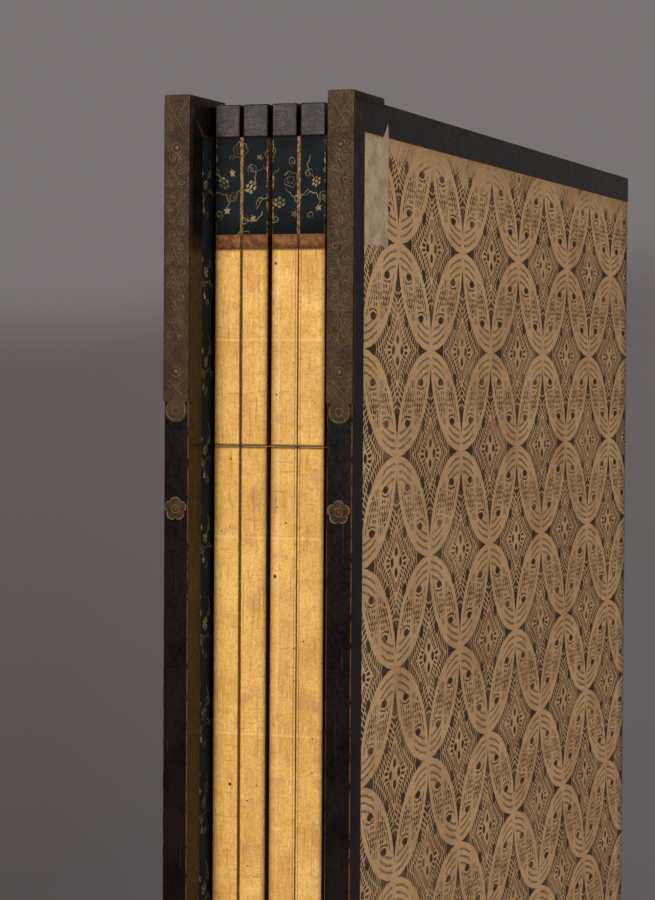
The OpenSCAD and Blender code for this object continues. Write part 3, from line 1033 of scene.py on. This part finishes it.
def leaf_section(low, high, double_crease):
    """Section of a hinge leaf from the hinge line, round the panel's front corner and onto its
    front, as (in from the edge, through the panel, wear and painted shade). low is the end at the
    hinge line of the back, high the end at that of the front. The dark marks near the hinge lines
    and on the front beside the corner are partly wear and partly painted shade of the gaps
    between the folded panels."""
    # Near the hinge line: worn paper at the crease, darkened further as painted shade of the gap between the
    # panels.
    if double_crease:
        crease_wear_and_shade = ((0.0, 0.9), (0.25, 0.7), (0.4, 0.0), (1.1, 0.0), (1.25, 0.7), (1.45, 0.7), (1.6, 0.0))
    else:
        crease_wear_and_shade = ((0.0, 1.0), (0.6, 0.9), (0.95, 0.0))
    outer = [(0.0, low + far, wear_and_shade) for far, wear_and_shade in crease_wear_and_shade]
    outer += [(0.0, HALF_T * share, 0.0) for share in (-0.3, 0.15, 0.6)]
    # Where the leaf reaches across the gap to the hinge line it is marked dark: wear, and painted shade of
    # the gap.
    if high > HALF_T + 0.1:
        outer += [(0.0, HALF_T - 0.9, 0.35), (0.0, high, 1.0), (LEAF_T, high, 1.0)]
        outer += [(LEAF_T, HALF_T + 0.02, 0.5)]
    else:
        outer += [(0.0, HALF_T - 1.3, 0.3)]
        for k in range(4):
            along, into = 1 - math.cos(k * math.pi / 6), 1 - math.sin(k * math.pi / 6)
            outer += [(LEAF_ROUND * along, HALF_T - LEAF_ROUND * into, 0.62)]
    # On the front beside the corner, where it faces the next panel across a narrow gap: a dark band, partly
    # wear and partly painted shade of that gap.
    outer += [(2.2, HALF_T, 1.0), (5.8, HALF_T - 0.02, 1.0), (8.0, HALF_T - 0.05, 0.1)]
    outer += [(LEAF_RETURN, HALF_T - 0.08, 0.3)]
    inner = [(LEAF_RETURN, SHEET_Y + 0.005, 0.0), (LEAF_T, SHEET_Y + 0.005, 0.0), (LEAF_T, low, 1.0)]
    return outer + inner


def leaf_solid(bm, section, edge_x, inwards, foot, head, seed, swell, worn_ends):
    """One stretch of a hinge leaf, a little wavy, with its cut ends where they belong."""
    steps = max(2, round((head - foot) / 13.0))
    heights = [foot + (head - foot) * k / steps for k in range(steps + 1)]
    if worn_ends:
        heights[1:1] = [foot + 0.5, foot + 1.4]
        heights[-1:-1] = [head - 1.4, head - 0.5]
    rings = []
    wear_and_shade = []
    for z in heights:
        at_end = 0.9 if worn_ends and min(z - foot, head - z) < 0.6 else 0.0
        wear_and_shade.append([max(amount, at_end) for _, _, amount in section])
        ring = []
        for inside, y, _ in section:
            wave = noise.noise(Vector((seed * 3.1, y * 0.3, z / 34.0)))
            ripple = noise.noise(Vector((seed * 7.7, y * 0.1, z / 12.0)))
            outside = 1.0 if inside < 0.01 else 0.0
            ring.append(at(
                edge_x + inwards * (inside - (0.07 * wave + swell) * outside),
                y + 0.12 * ripple * outside,
                z,
            ))
        rings.append(ring)
    return sweep(bm, rings, wear_and_shade)


def hinge_leaves(i):
    """The leaves of a panel in their three finishes. The first piece stands for the CAD node."""
    shapes = {finish: bmesh.new() for finish in ("gold_leaf", "brocade", "copper_brown_silk")}
    plain = leaf_section(-SHEET_Y, HALF_T + gap_half(i, True) - FOLD_CLEAR, False)
    for finish, foot, head in leaf_bands():
        swell = 0.06 if finish == "copper_brown_silk" else 0.0
        bm = shapes[finish]
        gilt = finish == "gold_leaf"
        leaf_solid(bm, plain, PLAIN_X - RAIL_PROUD, -1, foot, head, i, swell, gilt)
        if i not in END_PANELS:
            low = -HALF_T - gap_half(i, False) + FOLD_CLEAR
            folded = leaf_section(low, HALF_T, gilt and i in (2, 3))
            leaf_solid(bm, folded, INNER_X + RAIL_PROUD, 1, foot, head, i, swell, gilt)
    node = f"panel_{i}_hinge_leaves"
    for finish, bm in shapes.items():
        piece(bm, f"{node}_{finish}", i, finish, [node] if finish == "gold_leaf" else ())


def hinge_spine(i, outer_x, inwards):
    """Paper across the fold between panel i and the next, which bends from one to the other."""
    fold = fold_between(i)
    for finish in ("gold_leaf", "brocade", "copper_brown_silk"):
        bm = bmesh.new()
        layer = wear_and_shade_layer(bm)
        for kind, foot, head in leaf_bands():
            if kind != finish:
                continue
            made = bmesh.ops.create_grid(
                bm, x_segments=9, y_segments=max(2, round((head - foot) / 40.0)), size=0.5,
                matrix=Matrix.Translation((outer_x + inwards * 0.08, 0, (foot + head) / 2))
                @ Matrix.Diagonal((1, 2 * FOLD_CLEAR, head - foot, 1))
                @ Matrix.Rotation(math.pi / 2, 4, "X") @ Matrix.Rotation(math.pi / 2, 4, "Y"),
            )
            grid = list({face for vert in made["verts"] for face in vert.link_faces})
            bmesh.ops.solidify(bm, geom=grid, thickness=SPINE_T)
        # Every spine point is marked fully worn: wear at the fold, and painted shade of the deep gap between
        # the panels.
        for vert in bm.verts:
            vert[layer] = 1.0
        to_row = Matrix.Scale(MM, 4) @ Matrix.Translation((0, fold.y, 0))
        bmesh.ops.transform(bm, matrix=place(3).inverted() @ to_row, verts=bm.verts)
        spine = piece(bm, f"fold_{i}_{i + 1}_spine_{finish}", 3, finish, rides=False)
        near, far = (at(outer_x, fold.y + side * FOLD_CLEAR, 0) * MM for side in (-1, 1))
        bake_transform(spine, f"panel_{i}", f"panel_{i + 1}", start=near, end=far)


for i in PANELS:
    hinge_leaves(i)
for i in (1, 3, 5):
    hinge_spine(i, PLAIN_X - RAIL_PROUD, -1)
for i in (2, 4):
    hinge_spine(i, INNER_X + RAIL_PROUD, 1)


# --- Metal fittings ---
# Drawn as (out, across, up): out from the stile's face, across it, and up from the strap's top.


def metal(bm, foot, height):
    """Carries a fitting from (out, across, up) to a stile, at the top or, upside down, the foot."""
    turned = Matrix(((-1, 0, 0, STILE_X), (0, 1, 0, 0), (0, 0, -1 if foot else 1, height), (0, 0, 0, 1)))
    bmesh.ops.transform(bm, matrix=turned, verts=bm.verts)
    return bm


def ridge(bm, line, width=0.5):
    """A raised engraved line along points (across, up) on the strap, tapered at both ends."""
    rings = []
    for k, spot in enumerate(line):
        ahead = line[min(k + 1, len(line) - 1)] - line[max(k - 1, 0)]
        side = Vector((-ahead.y, ahead.x)).normalized() * width / 2
        taper = 0.35 if k in (0, len(line) - 1) else 1.0
        low, high = STRAP_T - 0.05, STRAP_T + RIDGE_H * taper
        left, right = spot + side * taper, spot - side * taper
        rings.append([at(low, *left), at(high, *(spot + side * 0.3 * taper)),
                      at(high, *(spot - side * 0.3 * taper)), at(low, *right)])
    return sweep(bm, rings, [(0.0, 1.0, 1.0, 0.0)] * len(rings))


def arc(centre, radius, start, share, points=10, end_radius=None):
    """Points (across, up) along a part of a turn, winding in if end_radius is smaller."""
    end_radius = radius if end_radius is None else end_radius
    made = []
    for k in range(points + 1):
        t = k / points
        angle = TURN * (start + share * t)
        reach = radius + (end_radius - radius) * t
        made.append(centre + Vector((math.cos(angle), math.sin(angle))) * reach)
    return made


def foliage(bm, top, bottom):
    """Engraved scrolls between two heights: curls to either side of a winding stem, with leaves."""
    pitch = 6.6
    count = int((top - bottom) / pitch)
    stem = [
        Vector((1.3 * math.sin(TURN * k / 12), top - (top - bottom) * k / (6 * count)))
        for k in range(6 * count + 1)
    ]
    ridge(bm, stem)
    for k in range(count):
        side = 1 if k % 2 else -1
        centre = Vector((side * 2.9, top - pitch * (k + 0.5)))
        hand = side if k % 3 else -side
        ridge(bm, arc(centre, 2.4, 0.25 + 0.5 * (side < 0), 1.4 * hand, 14, 0.5))
        across = centre + Vector((-side * 5.7, 0.6))
        ridge(bm, arc(across, 1.7, 0.1, 0.9 * side, 8, 0.7), 0.45)
        for j in range(-2, 3):
            root = across + Vector((side * 1.2, 0.9 * j - 1.8))
            lean = Vector((-side * 1.5, 0.25 * j + 0.5))
            ridge(bm, [root, root + lean * 0.6, root + lean * 1.3], 0.42)
        for j in (-1, 1):
            root = centre + Vector((side * 1.2, 3.2 * j))
            tip = root + Vector((side * 1.5, 0.2 * j))
            ridge(bm, [root, root + Vector((side * 0.9, 0.8 * j)), tip], 0.42)


def crossed_lines(bm, top, bottom):
    """Diagonal leaf lines that cross from rim to rim."""
    reach = STRAP_HALF_W - RIM_W - 0.3
    for start, end in ((-reach, reach), (reach, -reach)):
        line = [Vector((start + (end - start) * k / 6, top + (bottom - top) * k / 6)) for k in range(7)]
        ridge(bm, line)
    for k in range(3):
        z = top + (bottom - top) * (0.22 + 0.28 * k)
        for side in (-1, 1):
            ridge(bm, [Vector((side * reach, z + 1.6)), Vector((side * 2.2, z))], 0.4)


def plate_outline(rise):
    """Outline of a strap: straight, with small shoulders over a round end."""
    c = EDGE_ROUND
    w, shoulder = STRAP_HALF_W, -(STRAP_LEN - LOBE_SHOWN)
    centre = Vector((0, -STRAP_LEN + LOBE_R))
    start = math.asin((shoulder - centre.y) / LOBE_R) / TURN
    points = [Vector((w - c, rise)), Vector((-w + c, rise)), Vector((-w, rise - c))]
    points += [Vector((-w, shoulder + c)), Vector((-w + c, shoulder))]
    points += arc(centre, LOBE_R, 0.5 - start, 2 * start + 0.5, 18)
    points += [Vector((w - c, shoulder)), Vector((w, shoulder + c)), Vector((w, rise - c))]
    return points


def rim_shape(bm, rise):
    """The raised rim round a strap's straight part."""
    w, c = STRAP_HALF_W, EDGE_ROUND
    shoulder = -(STRAP_LEN - LOBE_SHOWN)
    outline = [
        (w - c, rise), (-w + c, rise), (-w, rise - c), (-w, shoulder + c),
        (-w + c, shoulder), (w - c, shoulder), (w, shoulder + c), (w, rise - c),
    ]
    layer = wear_and_shade_layer(bm)
    face = bm.faces.new([bm.verts.new((STRAP_T - 0.1, y, z)) for y, z in outline])
    ring = bmesh.ops.inset_region(bm, faces=[face], thickness=RIM_W, depth=0)["faces"]
    bmesh.ops.delete(bm, geom=[face], context="FACES_ONLY")
    grown = bmesh.ops.extrude_face_region(bm, geom=ring)["geom"]
    bmesh.ops.translate(bm, verts=verts_in(grown), vec=(RIM_H + 0.1, 0, 0))
    top_edges = list({e for f in faces_in(grown) for e in f.edges if len(e.link_faces) == 2
                      and any(abs(g.normal.x) < 0.5 for g in e.link_faces)})
    bm.normal_update()
    for vert in verts_in(grown):
        vert[layer] = 1.0
    rounded(bm, top_edges, 0.15, 2)


def strap_shape(rise):
    """A strap with its rim, engraving and the edges turned back along the stile."""
    bm = bmesh.new()
    bm.verts.layers.float.new("tarnish")
    wear_and_shade_layer(bm)
    extruded(bm, [at(0.0, p.x, p.y) for p in plate_outline(rise)], STRAP_T, (1, 0, 0))
    bm.normal_update()
    front = [e for e in bm.edges if all(v.co.x > STRAP_T - 0.01 for v in e.verts)]
    rounded(bm, front, 0.18, 2)
    wear_edges(bm, 0.8)
    rim_shape(bm, rise)
    top_of_field = rise - 18.0
    foliage(bm, top_of_field - 12.0, -128.0)
    crossed_lines(bm, rise - 3.0, top_of_field - 4.0)
    crossed_lines(bm, -145.0, -156.0)
    lobe = Vector((0, -STRAP_LEN + LOBE_R))
    ridge(bm, arc(lobe, LOBE_R - 1.0, 0.42, 0.66, 20))
    ridge(bm, arc(lobe, 2.2, 0.0, 1.0, 14))
    for drop in NAIL_DROPS:
        ridge(bm, arc(Vector((0, -drop)), 2.6, 0.0, 1.0, 16), 0.4)
    head = -WRAP_W / 2 if rise else -EDGE_ROUND
    for side in (-1, 1):
        flap = bmesh.ops.create_cube(bm, size=1.0)["verts"]
        shoulder = -(STRAP_LEN - LOBE_SHOWN) + EDGE_ROUND
        size = (STRAP_T + WRAP_W - 0.05, WRAP_T, head - shoulder)
        middle = (STRAP_T / 2 - WRAP_W / 2, side * (HALF_T + WRAP_T / 2), (head + shoulder) / 2)
        bmesh.ops.scale(bm, vec=size, verts=flap)
        bmesh.ops.translate(bm, vec=middle, verts=flap)
    return bm


def cap_shape(bm):
    """The cap along the top of the rail, with its sides turned down."""
    w, c = STRAP_HALF_W, EDGE_ROUND
    lip = -WRAP_W / 2
    section = [
        (-w, lip), (-HALF_T, lip), (-HALF_T, 0), (HALF_T, 0), (HALF_T, lip), (w, lip),
        (w, CAP_T - c), (w - c, CAP_T), (-w + c, CAP_T), (-w, CAP_T - c),
    ]
    layer = wear_and_shade_layer(bm)
    tarnish = bm.verts.layers.float["tarnish"]
    before = set(bm.verts)
    tucked = STRAP_T - 0.25
    extruded(bm, [at(tucked, y, z) for y, z in section], CAP_LEN + tucked, (-1, 0, 0))
    for vert in set(bm.verts) - before:
        vert[tarnish] = 1.0
        if vert.co.z > CAP_T - c - 0.01:
            vert[layer] = 0.5
    return bm


def nail_shape(bm, drop):
    """A nail with a domed head and a tapering shank."""
    sides = 16
    profile = [(-NAIL_LEN, 0.2), (-NAIL_LEN + 1.5, 0.75), (STRAP_T - 0.1, 0.78), (STRAP_T - 0.05, 1.55)]
    profile += [
        (STRAP_T + NAIL_HEAD_T * math.sin(t), NAIL_HEAD_R * math.cos(t))
        for t in (0.15, 0.5, 0.85, 1.15, 1.4)
    ]
    rings = [
        [at(out, radius * math.cos(TURN * k / sides), -drop + radius * math.sin(TURN * k / sides))
         for k in range(sides)]
        for out, radius in profile
    ]
    layer = wear_and_shade_layer(bm)
    before = set(bm.verts)
    sweep(bm, rings)
    for vert in set(bm.verts) - before:
        vert[layer] = 0.45 if vert.co.x > STRAP_T + NAIL_HEAD_T * 0.6 else 0.1


def blossom_shape(bm, drop):
    """A plum-blossom cover: five petals with raised edges, a ring and a boss."""
    sides = 60

    def ring(reach, out, dip=0.0):
        """An outline of five petals at a share of the full reach, lower by dip between petals."""
        made = []
        for k in range(sides):
            angle = TURN * k / sides
            petal = abs(math.cos(2.5 * (angle - TURN / 4)))
            share = 0.76 + 0.24 * petal ** 0.6 if reach > 0.5 else 0.86
            radius = BLOSSOM_R * reach * share
            across, up = radius * math.cos(angle), radius * math.sin(angle)
            made.append(at(out - dip * (1 - petal), across, -drop + up))
        return made

    layer = wear_and_shade_layer(bm)
    before = set(bm.verts)
    steps = [(1.0, 0.0, 0.0), (1.0, 0.7, 0.05), (0.96, 0.95, 0.05), (0.86, 0.95, 0.05), (0.8, 0.62, 0.1)]
    steps += [(0.62, 0.66, 0.12), (0.46, 0.7, 0.05), (0.42, 0.9, 0), (0.35, 0.9, 0), (0.3, 0.62, 0)]
    steps += [(0.2, 0.66, 0), (0.14, 0.95, 0), (0.05, BLOSSOM_T - 0.4, 0)]
    sweep(bm, [ring(*step) for step in steps])
    for vert in set(bm.verts) - before:
        vert[layer] = 0.5 if vert.co.x > 0.87 else 0.0


for i in END_PANELS:
    node = f"panel_{i}_top_corner_fitting"
    shape = cap_shape(strap_shape(CAP_T))
    piece(metal(shape, False, PANEL_H), f"{node}_engraved", i, "old_brass", [node], weighted=True)
    node = f"panel_{i}_bottom_strap"
    shape = metal(strap_shape(0.0), True, FOOT_CLEAR)
    piece(shape, f"{node}_engraved", i, "old_brass", [node], weighted=True)
    for kind, make, drops in (
        ("fitting_nails", nail_shape, NAIL_DROPS),
        ("blossom_nail_covers", blossom_shape, (BLOSSOM_DROP,)),
    ):
        whole = bmesh.new()
        for foot in (False, True):
            part = bmesh.new()
            for drop in drops:
                make(part, drop)
            metal(part, foot, 0.0 if foot else PANEL_H)
            half = bpy.data.meshes.new("half")
            part.to_mesh(half)
            part.free()
            whole.from_mesh(half)
            bpy.data.meshes.remove(half)
        petals = kind == "blossom_nail_covers"
        piece(whole, f"panel_{i}_{kind}_cast", i, "old_brass", [f"panel_{i}_{kind}"], smooth=not petals)


# --- Blank slip ---


def slip_shape():
    """A thin slip with a torn foot and one side, and a loose flap at its top corner."""
    x0 = END_EDGE_A + 0.2
    head = PAPER_TOP - 0.2
    bm = bmesh.new()
    upright_grid(bm, x0, x0 + LABEL_W, head - LABEL_H, head, 28, 40)
    for vert in bm.verts:
        across = (vert.co.x - x0) / LABEL_W
        down = (PAPER_TOP - vert.co.z) / LABEL_H
        torn_side = 0.95 + 0.03 * noise.noise(Vector((down * 9.0, 3.0, 0)))
        torn_foot = 1.0 - 0.05 * abs(noise.noise(Vector((across * 8.0, 9.0, 0))))
        vert.co.x = x0 + across * LABEL_W * min(1.0, torn_side)
        vert.co.z = head - down * torn_foot * LABEL_H * 0.985
        flap = max(0.0, across - 0.72) * max(0.0, 1 - down * 3.0)
        curl = max(0.0, down - 0.93) * 6.0
        tip = max(0.0, 1 - abs(across - 0.86) / 0.1) * max(0.0, 1 - down * 26.0)
        loose = max(0.0, 1 - abs(across - 0.86) / 0.14) * max(0.0, 1 - down * 12.0)
        vert.co.z += 9.0 * tip
        vert.co.x += 1.6 * tip
        under = SWELL * max(0.0, cell_swell(1, vert.co.x, vert.co.z))
        wrinkle = 0.05 * abs(noise.noise(vert.co / 7.0))
        vert.co.y = -SHEET_Y - under - 0.06 - 0.8 * loose - 1.5 * flap - 0.25 * curl - wrinkle
    bmesh.ops.solidify(bm, geom=bm.faces[:], thickness=0.12)
    return bm


piece(slip_shape(), "panel_1_label_slip_torn", 1, "slip_paper", ["panel_1_label_slip"])


# --- Studio ---


FLOOR_R = 2.6


def add_floor():
    """A round pale floor."""
    paint = Paint("floor", Specular_IOR_Level=0.2)
    here = paint.in_space()
    cloud = paint.noise(here, 400, 3.0)
    paint.done(paint.ground(cloud, (196, 192, 188), (206, 202, 198)), 0.8)
    bm = bmesh.new()
    bmesh.ops.create_circle(bm, cap_ends=True, segments=96, radius=FLOOR_R)
    mesh = bpy.data.meshes.new("floor")
    bm.to_mesh(mesh)
    bm.free()
    mesh.materials.append(paint.material)
    floor = bpy.data.objects.new("floor", mesh)
    bpy.context.scene.collection.objects.link(floor)


def add_light(name, spot, aim, size, power, colour=(1, 1, 1)):
    """A round soft light at spot, turned to aim."""
    data = bpy.data.lights.new(name, "AREA")
    data.shape = "DISK"
    data.size = size
    data.energy = power
    data.color = colour
    lamp = bpy.data.objects.new(name, data)
    lamp.location = spot
    lamp.rotation_euler = (Vector(aim) - Vector(spot)).to_track_quat("-Z", "Y").to_euler()
    bpy.context.scene.collection.objects.link(lamp)


def add_surroundings():
    """A grey wall above a darker one, which lies higher on the right, as a shadow on a backdrop."""
    world = bpy.data.worlds.new("surroundings")
    world.use_nodes = True
    bpy.context.scene.world = world
    tree = world.node_tree
    direction = tree.nodes.new("ShaderNodeTexCoord")
    parts = tree.nodes.new("ShaderNodeSeparateXYZ")
    tree.links.new(direction.outputs["Generated"], parts.inputs[0])
    side = Field(tree, parts.outputs[1])
    height = Field(tree, parts.outputs[2])

    to_right = side.scaled(0.43, 0.24, smooth=False)
    downwards = height.scaled(0.0, -0.18, smooth=False)
    left = mixed(tree, downwards, srgb(99, 91, 89), srgb(84, 78, 79))
    right = mixed(tree, downwards, srgb(103, 97, 97), srgb(96, 92, 93))
    shadow = mixed(tree, to_right, left, right)
    edge = height - to_right * 0.025
    colour = mixed(tree, edge.scaled(0.0, 0.034), shadow, srgb(121, 115, 116))
    tree.links.new(colour.socket, tree.nodes["Background"].inputs[0])


add_floor()
add_surroundings()
add_light("gilt_side", (-3.2, 0.4, 2.5), (-0.3, 0.0, 1.45), 1.0, 86, (1.0, 0.97, 0.92))
add_light("print_side", (-1.2, -2.6, 2.2), (0.0, -0.05, 1.45), 1.2, 38, (1.0, 0.97, 0.91))
add_light("far_side", (2.6, 2.2, 2.6), (0.0, 0.0, 1.5), 2.0, 60)
bpy.context.scene.view_settings.view_transform = "Standard"
